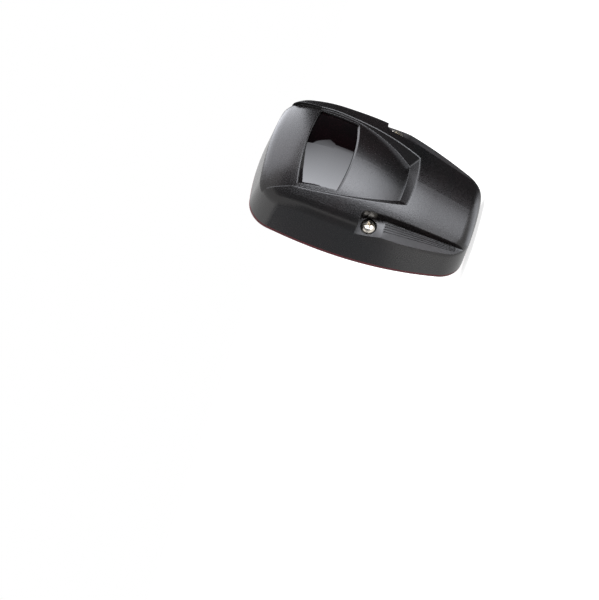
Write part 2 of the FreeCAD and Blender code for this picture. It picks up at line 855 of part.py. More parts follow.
front_cover = new_body("front_cover")
front_cover.BaseFeature = cover_form
doc.recompute()
rim_edge = add_fillet(front_cover, front_cover.Group[0], "sizes.rim_softness", where_meet(outer, tray))
ledge_edge = soften(
    front_cover, rim_edge, "Chamfer", "sizes.ledge_chamfer", window_rim("0", "sizes.optic_level")
)
soften(
    front_cover, ledge_edge, "Chamfer", "sizes.hood_chamfer", window_rim("sizes.optic_level", "sizes.top_level")
)

window = window_form("window", "0", WINDOW_BACK, WINDOW_FRONT)

# Base behind the cover
flange = slab("flange", "0", "0", "sizes.flange_thickness")
plate = slab(
    "plate", "(sizes.wall_thickness + sizes.joint_clearance)", "sizes.flange_thickness", "sizes.plate_thickness"
)
boss_length = "sizes.column_foot - sizes.flange_thickness"
bosses = [
    rod("boss_right", "sizes.boss_radius", boss_length, SCREW_OFFSET, "sizes.flange_thickness"),
    rod("boss_left", "sizes.boss_radius", boss_length, "-" + SCREW_OFFSET, "sizes.flange_thickness"),
]
boss_limit = block("boss_limit", "2 * (sizes.rim_half_width - sizes.boss_flat_inset)", BEYOND, BEYOND)
flat_bosses = common("flat_bosses", joined("round_bosses", *bosses), boss_limit)
post_places = [
    ("-sizes.post_offset", "sizes.post_upper_level"),
    ("sizes.post_offset", "sizes.post_lower_level"),
    ("sizes.post_offset", "sizes.post_upper_level"),
    ("-sizes.post_offset", "sizes.post_lower_level"),
]
post_length = "sizes.board_level - sizes.flange_thickness"
posts = [
    rod("post_%d" % index, "sizes.post_radius", post_length, across, "sizes.flange_thickness", up)
    for index, (across, up) in enumerate(post_places)
]
pegs = [
    rod("peg_%d" % index, "sizes.peg_radius", "sizes.peg_height + 2", across, "sizes.board_level - 2", up)
    for index, (across, up) in enumerate(post_places[2:])
]
grommet_seat = "sizes.grommet_setback + sizes.grommet_flange_thickness"
pilot_radius = "sizes.screw_radius + sizes.thread_clearance"
base_holes = [
    rod("pilot_right", pilot_radius, BEYOND, SCREW_OFFSET, "sizes.pilot_floor"),
    rod("pilot_left", pilot_radius, BEYOND, "-" + SCREW_OFFSET, "sizes.pilot_floor"),
    rod("wall_hole_upper", "sizes.wall_hole_radius", BEYOND, "0", "-1", "sizes.wall_hole_upper_level"),
    rod("wall_hole_lower", "sizes.wall_hole_radius", BEYOND, "0", "-1",
        "sizes.wall_hole_upper_level - sizes.wall_hole_spacing"),
    rod("cable_hole", "sizes.cable_hole_radius", BEYOND, "0", "-1", "sizes.cable_level"),
    rod("grommet_pocket", "sizes.grommet_flange_radius + sizes.grommet_clearance", grommet_seat + " + 1",
        "0", "-1", "sizes.cable_level"),
]
for index, (across, up) in enumerate(post_places[:2]):
    base_holes.append(
        rod("board_pilot_%d" % index, "sizes.board_screw_radius + sizes.thread_clearance", BEYOND,
            across, "sizes.pilot_floor", up)
    )
base = less("base", joined("base_form", flange, plate, flat_bosses, *posts, *pegs), *base_holes)

rim_seal = less(
    "rim_seal",
    slab("seal_form", "0", "sizes.flange_thickness", "sizes.seal_thickness"),
    slab("seal_space", "sizes.wall_thickness", "sizes.flange_thickness - 1", "sizes.seal_thickness + 2"),
)

cable_grommet = turned(
    "cable_grommet",
    [
        ("sizes.cable_bore_radius", "sizes.grommet_setback"),
        ("sizes.grommet_flange_radius", "sizes.grommet_setback"),
        ("sizes.grommet_flange_radius", grommet_seat),
        ("sizes.cable_hole_radius - sizes.grommet_clearance", grommet_seat),
        ("sizes.cable_hole_radius - sizes.grommet_clearance", PLATE_FRONT),
        ("sizes.grommet_collar_radius", PLATE_FRONT),
        ("sizes.grommet_collar_radius", PLATE_FRONT + " + sizes.grommet_flange_thickness"),
        ("sizes.grommet_tip_radius", PLATE_FRONT + " + sizes.grommet_flange_thickness + sizes.grommet_tip_length"),
        ("sizes.cable_bore_radius", PLATE_FRONT + " + sizes.grommet_flange_thickness + sizes.grommet_tip_length"),
    ],
    None,
    "0",
    "sizes.cable_level",
)

# Cover screws on their sealing rings
screw_right = pan_screw(
    "cover_screw_right", "sizes.screw_radius", "sizes.screw_length", "sizes.screw_head_radius",
    "sizes.screw_head_height", SCREW_OFFSET, "(%s + sizes.ring_thickness)" % SEAT, "0",
)
cover_screws = grouped("cover_screws", screw_right, mirrored("cover_screw_left", screw_right))
ring_right = less(
    "screw_ring_right",
    rod("ring_disc", "sizes.ring_radius", "sizes.ring_thickness", SCREW_OFFSET, SEAT),
    rod("ring_hole", "sizes.screw_radius + sizes.thread_clearance", BEYOND, SCREW_OFFSET, SEAT + " - 1"),
)
screw_seals = grouped("screw_seals", ring_right, mirrored("screw_ring_left", ring_right))

# Circuit board on the posts
board_form = rounded_block(
    "board_form", "2 * sizes.board_half_width", "sizes.board_thickness",
    "(sizes.board_top_level - sizes.board_foot_level)", "sizes.board_corner", "0", "sizes.board_level",
    "(sizes.board_top_level + sizes.board_foot_level) / 2",
)
board_holes = []
for index, (across, up) in enumerate(post_places):
    radius = "sizes.board_screw_radius" if index < 2 else "sizes.peg_radius"
    hole_radius = radius + " + sizes.board_hole_clearance"
    board_holes.append(rod("board_hole_%d" % index, hole_radius, BEYOND, across, "0", up))
circuit_board = less("circuit_board", board_form, *board_holes)
board_screws = grouped(
    "board_screws",
    *[
        pan_screw(
            "board_screw_%d" % index, "sizes.board_screw_radius", "sizes.board_screw_length",
            "sizes.board_screw_head_radius", "sizes.board_screw_head_height", across, "(%s)" % BOARD_FRONT, up,
        )
        for index, (across, up) in enumerate(post_places[:2])
    ]
)

# Optics behind the window
photodiode = lamp_form(
    "photodiode", "sizes.diode_radius", "sizes.diode_collar", "sizes.diode_length", "0", "sizes.optic_level"
)
holder_front = WINDOW_BACK + " - sizes.lens_gap - sizes.lens_bulge"
lens_seat = holder_front + " - sizes.lens_edge"
lens_holder = turned(
    "lens_holder",
    [
        ("sizes.holder_bore_radius", BOARD_FRONT),
        ("sizes.holder_radius", BOARD_FRONT),
        ("sizes.holder_radius", holder_front),
        ("sizes.lens_radius + sizes.lens_clearance", holder_front),
        ("sizes.lens_radius + sizes.lens_clearance", lens_seat),
        ("sizes.holder_bore_radius", lens_seat),
    ],
    None,
    "0",
    "sizes.optic_level",
)
lens = turned(
    "lens",
    [
        ("0", lens_seat),
        ("sizes.lens_radius", lens_seat),
        ("sizes.lens_radius", holder_front),
        ("0", holder_front + " + sizes.lens_bulge"),
    ],
    {2: ("(sizes.lens_radius ^ 2 + sizes.lens_bulge ^ 2) / (2 * sizes.lens_bulge)", -1)},
    "0",
    "sizes.optic_level",
)

# Terminal block with screws and wire clamps
ways = [-2, -1, 0, 1, 2]
terminal_front = BOARD_FRONT + " + sizes.terminal_depth"
terminal_foot = "sizes.terminal_level - sizes.terminal_height / 2"
screw_seat = terminal_front + " - sizes.terminal_bore_depth"
clamp_depth = BOARD_FRONT + " + 1"
clamp_level = terminal_foot + " + sizes.clamp_length / 2 + 1"
bores = []
terminal_screw_list = []
clamp_list = []
for index, way in enumerate(ways):
    across = "%d * sizes.terminal_pitch" % way
    bores.append(rod("terminal_bore_%d" % index, "sizes.terminal_bore_radius", BEYOND, across, screw_seat,
                     "sizes.terminal_level"))
    bores.append(block("wire_way_%d" % index, "sizes.clamp_width", "sizes.clamp_width", "sizes.clamp_length + 2",
                       across, clamp_depth, terminal_foot + " + sizes.clamp_length / 2"))
    terminal_screw_list.append(
        less(
            "terminal_screw_%d" % index,
            rod("terminal_stud_%d" % index, "sizes.terminal_screw_radius", "sizes.terminal_screw_length", across,
                screw_seat, "sizes.terminal_level"),
            block("terminal_slot_%d" % index, "4", "4", "0.5", across,
                  screw_seat + " + sizes.terminal_screw_length * 0.6", "sizes.terminal_level"),
        )
    )
    clamp_list.append(
        less(
            "wire_clamp_%d" % index,
            block("clamp_form_%d" % index, "sizes.clamp_width", "sizes.clamp_width", "sizes.clamp_length", across,
                  clamp_depth, clamp_level),
            block("clamp_space_%d" % index, "sizes.clamp_width - 2 * sizes.clamp_wall",
                  "sizes.clamp_width - 2 * sizes.clamp_wall", "sizes.clamp_length + 2", across,
                  clamp_depth + " + sizes.clamp_wall", clamp_level),
        )
    )
terminal_block = less(
    "terminal_block",
    block("terminal_form", "%d * sizes.terminal_pitch" % len(ways), "sizes.terminal_depth", "sizes.terminal_height",
          "0", BOARD_FRONT, "sizes.terminal_level"),
    *bores
)
terminal_screws = grouped("terminal_screws", *terminal_screw_list)
wire_clamps = grouped("wire_clamps", *clamp_list)

# Other parts on the board
relay = rounded_block(
    "relay", "sizes.relay_width", "sizes.relay_depth", "sizes.relay_height", "sizes.relay_corner",
    "sizes.relay_offset", BOARD_FRONT, "sizes.relay_level",
)
smoothing_capacitor = turned(
    "smoothing_capacitor",
    [
        ("0", BOARD_FRONT),
        ("sizes.capacitor_radius", BOARD_FRONT),
        ("sizes.capacitor_radius", BOARD_FRONT + " + 1.2"),
        ("sizes.capacitor_radius - 0.4", BOARD_FRONT + " + 1.7"),
        ("sizes.capacitor_radius", BOARD_FRONT + " + 2.2"),
        ("sizes.capacitor_radius", BOARD_FRONT + " + sizes.capacitor_length - 0.4"),
        ("sizes.capacitor_radius - 0.4", BOARD_FRONT + " + sizes.capacitor_length"),
        ("0", BOARD_FRONT + " + sizes.capacitor_length"),
    ],
    None,
    "sizes.capacitor_offset",
    "sizes.capacitor_level",
)
disc = doc.addObject("Part::Cylinder", "varistor_disc")
disc.Placement.Rotation = FreeCAD.Rotation(VECTOR(0, 1, 0), 90)
bind(disc, Radius="sizes.varistor_radius", Height="sizes.varistor_thickness")
disc.setExpression("Placement.Base.x", "sizes.varistor_offset - sizes.varistor_thickness / 2")
disc.setExpression("Placement.Base.y", "-(%s + sizes.lead_rise + sizes.varistor_radius)" % BOARD_FRONT)
disc.setExpression("Placement.Base.z", "sizes.varistor_level")
varistor = joined(
    "varistor",
    disc,
    *[
        rod("varistor_lead_%d" % index, "sizes.lead_radius", "sizes.lead_rise + sizes.varistor_radius",
            "sizes.varistor_offset", BOARD_FRONT, "sizes.varistor_level + %s * sizes.varistor_radius" % share)
        for index, share in enumerate(("-0.6", "0.6"))
    ]
)


def legged_chip(label, width, depth, height, reach, leg_width, levels, across, up):
    """Chip whose flat legs stand on the board at both sides."""
    legs = [
        block("%s_leg_%d" % (label, index), "%s + 2 * %s" % (width, reach), "0.3", leg_width, across, BOARD_FRONT,
              "%s + %s" % (up, level))
        for index, level in enumerate(levels)
    ]
    return joined(label, block(label + "_case", width, depth, height, across, BOARD_FRONT, up), *legs)


microcontroller = legged_chip(
    "microcontroller", "sizes.chip_width", "sizes.chip_depth", "sizes.chip_height", "sizes.chip_leg_reach",
    "sizes.chip_leg_width", ["%s * sizes.chip_leg_pitch" % step for step in ("-1.5", "-0.5", "0.5", "1.5")],
    "sizes.chip_offset", "sizes.chip_level",
)
rectifier = legged_chip(
    "rectifier", "sizes.rectifier_width", "sizes.rectifier_depth", "sizes.rectifier_height", "sizes.chip_leg_reach",
    "sizes.chip_leg_width * 2", ["-sizes.chip_leg_pitch * 2", "sizes.chip_leg_pitch * 2"],
    "sizes.rectifier_offset", "sizes.rectifier_level",
)
status_lamp = lamp_form(
    "status_lamp", "sizes.lamp_radius", "sizes.lamp_collar", "sizes.lamp_length", "sizes.lamp_offset",
    "sizes.lamp_level",
)
pin_offsets = ["sizes.header_offset %s sizes.header_pitch / 2" % sign for sign in ("-", "+")]
jumper_header = joined(
    "jumper_header",
    block("header_form", "2 * sizes.header_pitch", "sizes.header_base", "sizes.header_pitch", "sizes.header_offset",
          BOARD_FRONT, "sizes.header_level"),
    *[
        block("header_pin_%d" % index, "sizes.header_pin", "sizes.header_pin_length", "sizes.header_pin", across,
              BOARD_FRONT, "sizes.header_level")
        for index, across in enumerate(pin_offsets)
    ]
)
jumper_cap = less(
    "jumper_cap",
    block("cap_form", "2 * sizes.header_pitch", "sizes.cap_height", "sizes.header_pitch", "sizes.header_offset",
          BOARD_FRONT + " + sizes.header_base", "sizes.header_level"),
    *[
        block("cap_hole_%d" % index, "sizes.header_pin + 2 * sizes.pin_clearance", BEYOND,
              "sizes.header_pin + 2 * sizes.pin_clearance", across, BOARD_FRONT, "sizes.header_level")
        for index, across in enumerate(pin_offsets)
    ]
)
chip_resistors = grouped(
    "chip_resistors",
    *[
        block("chip_resistor_%d" % index, "sizes.bead_length", "sizes.resistor_depth", "sizes.bead_width",
              "sizes.bead_offset + %s * sizes.bead_pitch" % step, BOARD_FRONT, "sizes.resistor_level")
        for index, step in enumerate(("-0.5", "0.5"))
    ]
)
chip_capacitors = grouped(
    "chip_capacitors",
    *[
        block("chip_capacitor_%d" % index, "sizes.bead_length", "sizes.ceramic_depth", "sizes.bead_width",
              "sizes.bead_offset + %s * sizes.bead_pitch" % step, BOARD_FRONT, "sizes.ceramic_level")
        for index, step in enumerate(("-0.5", "0.5"))
    ]
)

NODES = [
    front_cover, window, rim_seal, base, cable_grommet, cover_screws, screw_seals, circuit_board, board_screws,
    photodiode, lens_holder, lens, terminal_block, terminal_screws, wire_clamps, relay, smoothing_capacitor,
    varistor, rectifier, microcontroller, status_lamp, jumper_header, jumper_cap, chip_resistors, chip_capacitors,
]
doc.recompute()
for item in doc.Objects:
    if "Invalid" in item.State or "Error" in item.State:
        raise RuntimeError("%s did not build" % item.Label)
for item in NODES:
    if item.Shape.isNull() or not item.Shape.isValid() or item.Shape.Volume <= 0:
        raise RuntimeError("%s has no sound solid" % item.Label)
    item.Shape.exportStep("parts/%s.step" % item.Label)
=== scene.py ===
import math

import bmesh
import bpy
from mathutils import Matrix, Vector


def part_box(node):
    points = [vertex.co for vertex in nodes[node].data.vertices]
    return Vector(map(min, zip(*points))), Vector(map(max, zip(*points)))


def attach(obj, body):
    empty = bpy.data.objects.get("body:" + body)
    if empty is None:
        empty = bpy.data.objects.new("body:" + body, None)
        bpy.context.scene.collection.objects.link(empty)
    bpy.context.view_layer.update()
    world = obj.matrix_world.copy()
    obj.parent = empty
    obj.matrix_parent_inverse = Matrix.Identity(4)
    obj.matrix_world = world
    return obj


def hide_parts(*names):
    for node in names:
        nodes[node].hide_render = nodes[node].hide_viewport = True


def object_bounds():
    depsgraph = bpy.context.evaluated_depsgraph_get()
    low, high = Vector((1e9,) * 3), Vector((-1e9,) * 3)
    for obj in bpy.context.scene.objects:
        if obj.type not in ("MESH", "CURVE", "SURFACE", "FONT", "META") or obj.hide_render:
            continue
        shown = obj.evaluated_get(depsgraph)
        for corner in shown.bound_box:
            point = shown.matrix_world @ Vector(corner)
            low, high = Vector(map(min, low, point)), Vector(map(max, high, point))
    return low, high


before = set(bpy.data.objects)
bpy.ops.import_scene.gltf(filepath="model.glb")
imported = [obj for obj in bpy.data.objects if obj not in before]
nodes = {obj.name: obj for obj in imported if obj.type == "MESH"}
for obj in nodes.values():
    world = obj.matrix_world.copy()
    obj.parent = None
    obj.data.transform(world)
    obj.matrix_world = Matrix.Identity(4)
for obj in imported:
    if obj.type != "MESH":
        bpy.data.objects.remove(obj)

# Gate photocell: looks, floor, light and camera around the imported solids, in metres.

MM = 0.001
cad_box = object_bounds()
scene = bpy.context.scene
scene.view_settings.view_transform = "Standard"

# Camera at the photograph's viewing angle: the object lies on its side in the picture.

CAMERA_PLACE = Vector((-0.49454, -0.70247, 0.05145))
CAMERA_RIGHT = Vector((0.258941, -0.207888, -0.943256))
CAMERA_UP = Vector((0.808288, -0.487996, 0.329441))
CAMERA_LENS = 120.0
SENSOR_WIDTH = 36.0
CLIP_NEAR = 0.05
CLIP_FAR = 50.0


def add_camera():
    data = bpy.data.cameras.new("camera")
    data.lens = CAMERA_LENS
    data.sensor_width = SENSOR_WIDTH
    data.clip_start = CLIP_NEAR
    data.clip_end = CLIP_FAR
    camera = bpy.data.objects.new("camera", data)
    scene.collection.objects.link(camera)
    back = CAMERA_RIGHT.cross(CAMERA_UP)
    turn = Matrix((CAMERA_RIGHT, CAMERA_UP, back)).transposed()
    camera.matrix_world = Matrix.Translation(CAMERA_PLACE) @ turn.to_4x4()
    scene.camera = camera


# Material helpers: each adds nodes to a tree and returns the socket that carries the result.

WHITE = (1, 1, 1, 1)
NOISE_LOW = 0.25
NOISE_HIGH = 0.75
FINE_DETAIL = 2.0
PATCH_DETAIL = 3.0
BEVEL_SAMPLES = 6


def new_material(name):
    material = bpy.data.materials.new(name)
    material.use_nodes = True
    tree = material.node_tree
    return material, tree, tree.nodes["Principled BSDF"]


def object_place(tree):
    return tree.nodes.new("ShaderNodeTexCoord").outputs["Object"]


def surface_normal(tree):
    return tree.nodes.new("ShaderNodeNewGeometry").outputs["Normal"]


def add_axes(tree, vector):
    node = tree.nodes.new("ShaderNodeSeparateXYZ")
    tree.links.new(vector, node.inputs["Vector"])
    return [node.outputs[axis] for axis in "XYZ"]


def add_noise(tree, place, grain, detail=FINE_DETAIL):
    """Noise whose features are about grain metres across."""
    node = tree.nodes.new("ShaderNodeTexNoise")
    node.inputs["Scale"].default_value = 1.0 / grain
    node.inputs["Detail"].default_value = detail
    tree.links.new(place, node.inputs["Vector"])
    return node.outputs["Fac"]


def add_range(tree, value, low, high, start=NOISE_LOW, end=NOISE_HIGH):
    """Low where the value is at start, high where it is at end, and even between them."""
    node = tree.nodes.new("ShaderNodeMapRange")
    node.inputs["From Min"].default_value = start
    node.inputs["From Max"].default_value = end
    node.inputs["To Min"].default_value = low
    node.inputs["To Max"].default_value = high
    tree.links.new(value, node.inputs["Value"])
    return node.outputs["Result"]


def add_step(tree, value, level, fade):
    """Nought below the level, one from fade above it."""
    return add_range(tree, value, 0.0, 1.0, level, level + fade)


def add_inverse(tree, share):
    return add_range(tree, share, 1.0, 0.0, 0.0, 1.0)


def add_math(tree, operation, first, second):
    """Math node; each input is a number or a socket."""
    node = tree.nodes.new("ShaderNodeMath")
    node.operation = operation
    for socket, given in zip(node.inputs, (first, second)):
        if isinstance(given, (int, float)):
            socket.default_value = given
        else:
            tree.links.new(given, socket)
    return node.outputs[0]


def add_size(tree, value):
    """The value without its sign."""
    return add_math(tree, "ABSOLUTE", value, 0)


def add_product(tree, first, *others):
    for other in others:
        first = add_math(tree, "MULTIPLY", first, other)
    return first


def add_colours(tree, share, first, second):
    """Blend from the first colour to the second; each is three numbers or a socket."""
    node = tree.nodes.new("ShaderNodeMix")
    node.data_type = "RGBA"
    tree.links.new(share, node.inputs["Factor"])
    for name, given in (("A", first), ("B", second)):
        if isinstance(given, tuple):
            node.inputs[name].default_value = (*given, 1)
        else:
            tree.links.new(given, node.inputs[name])
    return node.outputs["Result"]


def add_patches(tree, place, size, colours):
    """Large soft patches of two colours."""
    share = add_range(tree, add_noise(tree, place, size, PATCH_DETAIL), 0.0, 1.0)
    return add_colours(tree, share, *colours)


def add_soft_edges(tree, radius, share):
    """Normals rounded over the mould's edges, as far as share says."""
    rounded = tree.nodes.new("ShaderNodeBevel")
    rounded.samples = BEVEL_SAMPLES
    rounded.inputs["Radius"].default_value = radius
    node = tree.nodes.new("ShaderNodeMix")
    node.data_type = "VECTOR"
    tree.links.new(share, node.inputs["Factor"])
    tree.links.new(surface_normal(tree), node.inputs["A"])
    tree.links.new(rounded.outputs["Normal"], node.inputs["B"])
    return node.outputs["Result"]


def add_bump(tree, height, depth, below=None):
    node = tree.nodes.new("ShaderNodeBump")
    node.inputs["Distance"].default_value = depth
    tree.links.new(height, node.inputs["Height"])
    if below:
        tree.links.new(below, node.inputs["Normal"])
    return node.outputs["Normal"]


# Front cover

COVER_IOR = 1.52
COVER_COLOURS = ((0.004, 0.0046, 0.0047), (0.0085, 0.0048, 0.0052))
COVER_PATCH = 22 * MM
COVER_GRAIN = 0.6 * MM
COVER_GRAIN_DEPTH = 0.016 * MM
UPPER_ROUGHNESS = 0.21
LOWER_ROUGHNESS = 0.25
GRAIN_ROUGHNESS = 0.08
GLOSS_LEVEL = -20 * MM
GLOSS_FADE = 9 * MM
CHANNEL_WALL = 21.06 * MM
CHANNEL_TAPER = 0.113
CHANNEL_EDGE = 0.45 * MM
CHANNEL_LEVEL = -21.8 * MM
CHANNEL_FADE = 1 * MM
CHANNEL_FACING = (-0.85, -0.75)
CHANNEL_ROUGHNESS = 0.27
EDGE_SOFTNESS = 0.5 * MM


def cover_plastic():
    """Satin black moulding with a sandy grain, a little glossier in its upper part.

    The floors of the screw channels are duller and have no grain. The edges on the front are soft."""
    material, tree, shader = new_material("cover_plastic")
    shader.inputs["IOR"].default_value = COVER_IOR
    place = object_place(tree)
    x, y, z = add_axes(tree, place)
    colour = add_patches(tree, place, COVER_PATCH, COVER_COLOURS)
    tree.links.new(colour, shader.inputs["Base Color"])

    deep = add_step(tree, y, CHANNEL_LEVEL, CHANNEL_FADE)
    slant = add_math(tree, "SUBTRACT", add_size(tree, x), add_product(tree, z, CHANNEL_TAPER))
    outer = add_step(tree, slant, CHANNEL_WALL + CHANNEL_EDGE, CHANNEL_EDGE)
    turn = add_axes(tree, surface_normal(tree))[1]
    facing = add_range(tree, turn, 1.0, 0.0, *CHANNEL_FACING)
    channel = add_product(tree, deep, outer, facing)

    fine = add_noise(tree, place, COVER_GRAIN)
    gloss_end = GLOSS_LEVEL + GLOSS_FADE
    base = add_range(tree, z, LOWER_ROUGHNESS, UPPER_ROUGHNESS, GLOSS_LEVEL, gloss_end)
    grain = add_range(tree, fine, 0.0, GRAIN_ROUGHNESS)
    dull = add_product(tree, channel, CHANNEL_ROUGHNESS)
    roughness = add_math(tree, "ADD", add_math(tree, "ADD", base, grain), dull)
    tree.links.new(roughness, shader.inputs["Roughness"])

    soft = add_soft_edges(tree, EDGE_SOFTNESS, add_inverse(tree, deep))
    sand = add_product(tree, fine, add_inverse(tree, channel))
    tree.links.new(add_bump(tree, sand, COVER_GRAIN_DEPTH, soft), shader.inputs["Normal"])
    return material


# Circuit board

BOARD_GREENS = ((0.02, 0.16, 0.06), (0.03, 0.2, 0.08))
BOARD_RUN_COLOUR = (0.05, 0.3, 0.12)
BOARD_RUN_SCALE = 260.0
BOARD_RUN_WIDTH = 0.09
BOARD_RUN_HEIGHT = 0.02 * MM
BOARD_GRAIN = 0.5 * MM
BOARD_ROUGHNESS = (0.3, 0.45)
BOARD_TURN = (math.radians(90), 0, 0)


def board_laminate():
    """Green mask over copper runs."""
    material, tree, shader = new_material("board_laminate")
    place = object_place(tree)
    turn = tree.nodes.new("ShaderNodeMapping")
    turn.inputs["Rotation"].default_value = BOARD_TURN
    tree.links.new(place, turn.inputs["Vector"])
    runs = tree.nodes.new("ShaderNodeTexBrick")
    runs.inputs["Scale"].default_value = BOARD_RUN_SCALE
    runs.inputs["Mortar Size"].default_value = BOARD_RUN_WIDTH
    for name, colour in zip(("Color1", "Color2", "Mortar"), (*BOARD_GREENS, BOARD_RUN_COLOUR)):
        runs.inputs[name].default_value = (*colour, 1)
    tree.links.new(turn.outputs["Vector"], runs.inputs["Vector"])
    tree.links.new(runs.outputs["Color"], shader.inputs["Base Color"])
    fine = add_noise(tree, place, BOARD_GRAIN)
    tree.links.new(add_range(tree, fine, *BOARD_ROUGHNESS), shader.inputs["Roughness"])
    relief = add_bump(tree, runs.outputs["Fac"], BOARD_RUN_HEIGHT)
    tree.links.new(relief, shader.inputs["Normal"])
    return material


# Other finishes, from a table
# slot: two colours, patch size, roughness range, grain size, grain depth, metal share (sizes in millimetres)

FINISHES = {
    "window_plastic": ((0.0009, 0.0008, 0.001), (0.004, 0.001, 0.0016), 14, (0.02, 0.05), 1.5, 0.0006, 0),
    "base_plastic": ((0.017, 0.014, 0.014), (0.026, 0.022, 0.022), 18, (0.45, 0.6), 0.5, 0.014, 0),
    "lens_plastic": ((0.72, 0.76, 0.79), (0.78, 0.8, 0.82), 6, (0.02, 0.05), 2, 0.001, 0),
    "seal_rubber": ((0.09, 0.004, 0.009), (0.14, 0.007, 0.014), 6, (0.6, 0.75), 0.3, 0.01, 0),
    "black_rubber": ((0.012, 0.012, 0.012), (0.022, 0.021, 0.021), 5, (0.6, 0.75), 0.25, 0.01, 0),
    "screw_steel": ((0.6, 0.56, 0.49), (0.76, 0.71, 0.63), 2, (0.2, 0.34), 0.5, 0.012, 1),
    "diode_resin": ((0.05, 0.008, 0.016), (0.07, 0.012, 0.024), 4, (0.05, 0.1), 1, 0.002, 0),
    "holder_plastic": ((0.025, 0.025, 0.025), (0.036, 0.036, 0.036), 8, (0.5, 0.65), 0.4, 0.012, 0),
    "terminal_plastic": ((0.085, 0.28, 0.14), (0.11, 0.35, 0.18), 6, (0.4, 0.52), 0.5, 0.012, 0),
    "clamp_brass": ((0.68, 0.54, 0.26), (0.8, 0.65, 0.34), 2, (0.25, 0.4), 0.3, 0.01, 1),
    "relay_plastic": ((0.04, 0.14, 0.36), (0.055, 0.175, 0.43), 8, (0.25, 0.34), 0.6, 0.008, 0),
    "capacitor_sleeve": ((0.04, 0.05, 0.1), (0.06, 0.07, 0.14), 5, (0.2, 0.32), 0.8, 0.01, 0),
    "varistor_coating": ((0.07, 0.17, 0.4), (0.09, 0.23, 0.5), 3, (0.2, 0.35), 0.8, 0.02, 0),
    "chip_resin": ((0.025, 0.025, 0.027), (0.036, 0.036, 0.038), 2, (0.5, 0.65), 0.2, 0.008, 0),
    "lamp_resin": ((0.5, 0.02, 0.02), (0.66, 0.04, 0.04), 2, (0.06, 0.12), 1, 0.002, 0),
    "jumper_plastic": ((0.04, 0.04, 0.045), (0.06, 0.06, 0.065), 2, (0.4, 0.5), 0.3, 0.008, 0),
    "chip_ceramic": ((0.44, 0.33, 0.21), (0.56, 0.43, 0.29), 1, (0.4, 0.55), 0.2, 0.006, 0),
}
WINDOW_IOR = 1.47
LENS_IOR = 1.49


def finish(slot):
    """Moulded, cast or coated surface: colour patches, grain in the gloss and a fine relief."""
    first, second, patch, roughness, grain, depth, metallic = FINISHES[slot]
    material, tree, shader = new_material(slot)
    place = object_place(tree)
    colour = add_patches(tree, place, patch * MM, (first, second))
    tree.links.new(colour, shader.inputs["Base Color"])
    fine = add_noise(tree, place, grain * MM)
    tree.links.new(add_range(tree, fine, *roughness), shader.inputs["Roughness"])
    tree.links.new(add_bump(tree, fine, depth * MM), shader.inputs["Normal"])
    shader.inputs["Metallic"].default_value = metallic
    return material, tree, shader


# Dark red lip of the seal over the base's outer edge; the holes in the wall side keep their own colour.

LIP_LEVEL = -1 * MM
LIP_COLOUR = (0.1, 0.005, 0.011)
LIP_BLUR = 0.05 * MM
LIP_FACING = (0.4, 0.6)
HOLES_HALF_WIDTH = 8 * MM
HOLES_HALF_LENGTH = 45 * MM


def add_lip(tree, shader):
    colour = shader.inputs["Base Color"].links[0].from_socket
    x, y, z = add_axes(tree, object_place(tree))
    rear = add_step(tree, y, LIP_LEVEL, LIP_BLUR)
    turn = add_size(tree, add_axes(tree, surface_normal(tree))[1])
    sideways = add_range(tree, turn, 1.0, 0.0, *LIP_FACING)
    middle = (cad_box[0][2] + cad_box[1][2]) / 2
    along = add_size(tree, add_math(tree, "SUBTRACT", z, middle))
    beside = add_step(tree, add_size(tree, x), HOLES_HALF_WIDTH, LIP_BLUR)
    beyond = add_step(tree, along, HOLES_HALF_LENGTH, LIP_BLUR)
    outside = add_math(tree, "MAXIMUM", beside, beyond)
    edge = add_product(tree, rear, sideways, outside)
    tree.links.new(add_colours(tree, edge, colour, LIP_COLOUR), shader.inputs["Base Color"])


NODE_SLOTS = {
    "front_cover": "cover_plastic", "window": "window_plastic", "rim_seal": "seal_rubber",
    "base": "base_plastic", "cable_grommet": "black_rubber", "screw_seals": "black_rubber",
    "cover_screws": "screw_steel", "board_screws": "screw_steel", "terminal_screws": "screw_steel",
    "circuit_board": "board_laminate", "photodiode": "diode_resin", "lens_holder": "holder_plastic",
    "lens": "lens_plastic", "terminal_block": "terminal_plastic", "wire_clamps": "clamp_brass",
    "relay": "relay_plastic", "smoothing_capacitor": "capacitor_sleeve", "varistor": "varistor_coating",
    "rectifier": "chip_resin", "microcontroller": "chip_resin", "status_lamp": "lamp_resin",
    "jumper_header": "jumper_plastic", "jumper_cap": "jumper_plastic", "chip_resistors": "chip_resin",
    "chip_capacitors": "chip_ceramic",
}


def dress_nodes():
    """Gives every solid its material, and returns the materials by slot."""
    materials = {"cover_plastic": cover_plastic(), "board_laminate": board_laminate()}
    for slot in FINISHES:
        material, tree, shader = finish(slot)
        materials[slot] = material
        if slot == "base_plastic":
            add_lip(tree, shader)
        elif slot == "window_plastic":
            shader.inputs["IOR"].default_value = WINDOW_IOR
        elif slot == "lens_plastic":
            shader.inputs["IOR"].default_value = LENS_IOR
            shader.inputs["Transmission Weight"].default_value = 1.0
    for name, slot in NODE_SLOTS.items():
        node = nodes[name]
        node.data.materials.clear()
        node.data.materials.append(materials[slot])
    return materials


# Cover screws with domed heads and a cross recess, in place of the plain ones

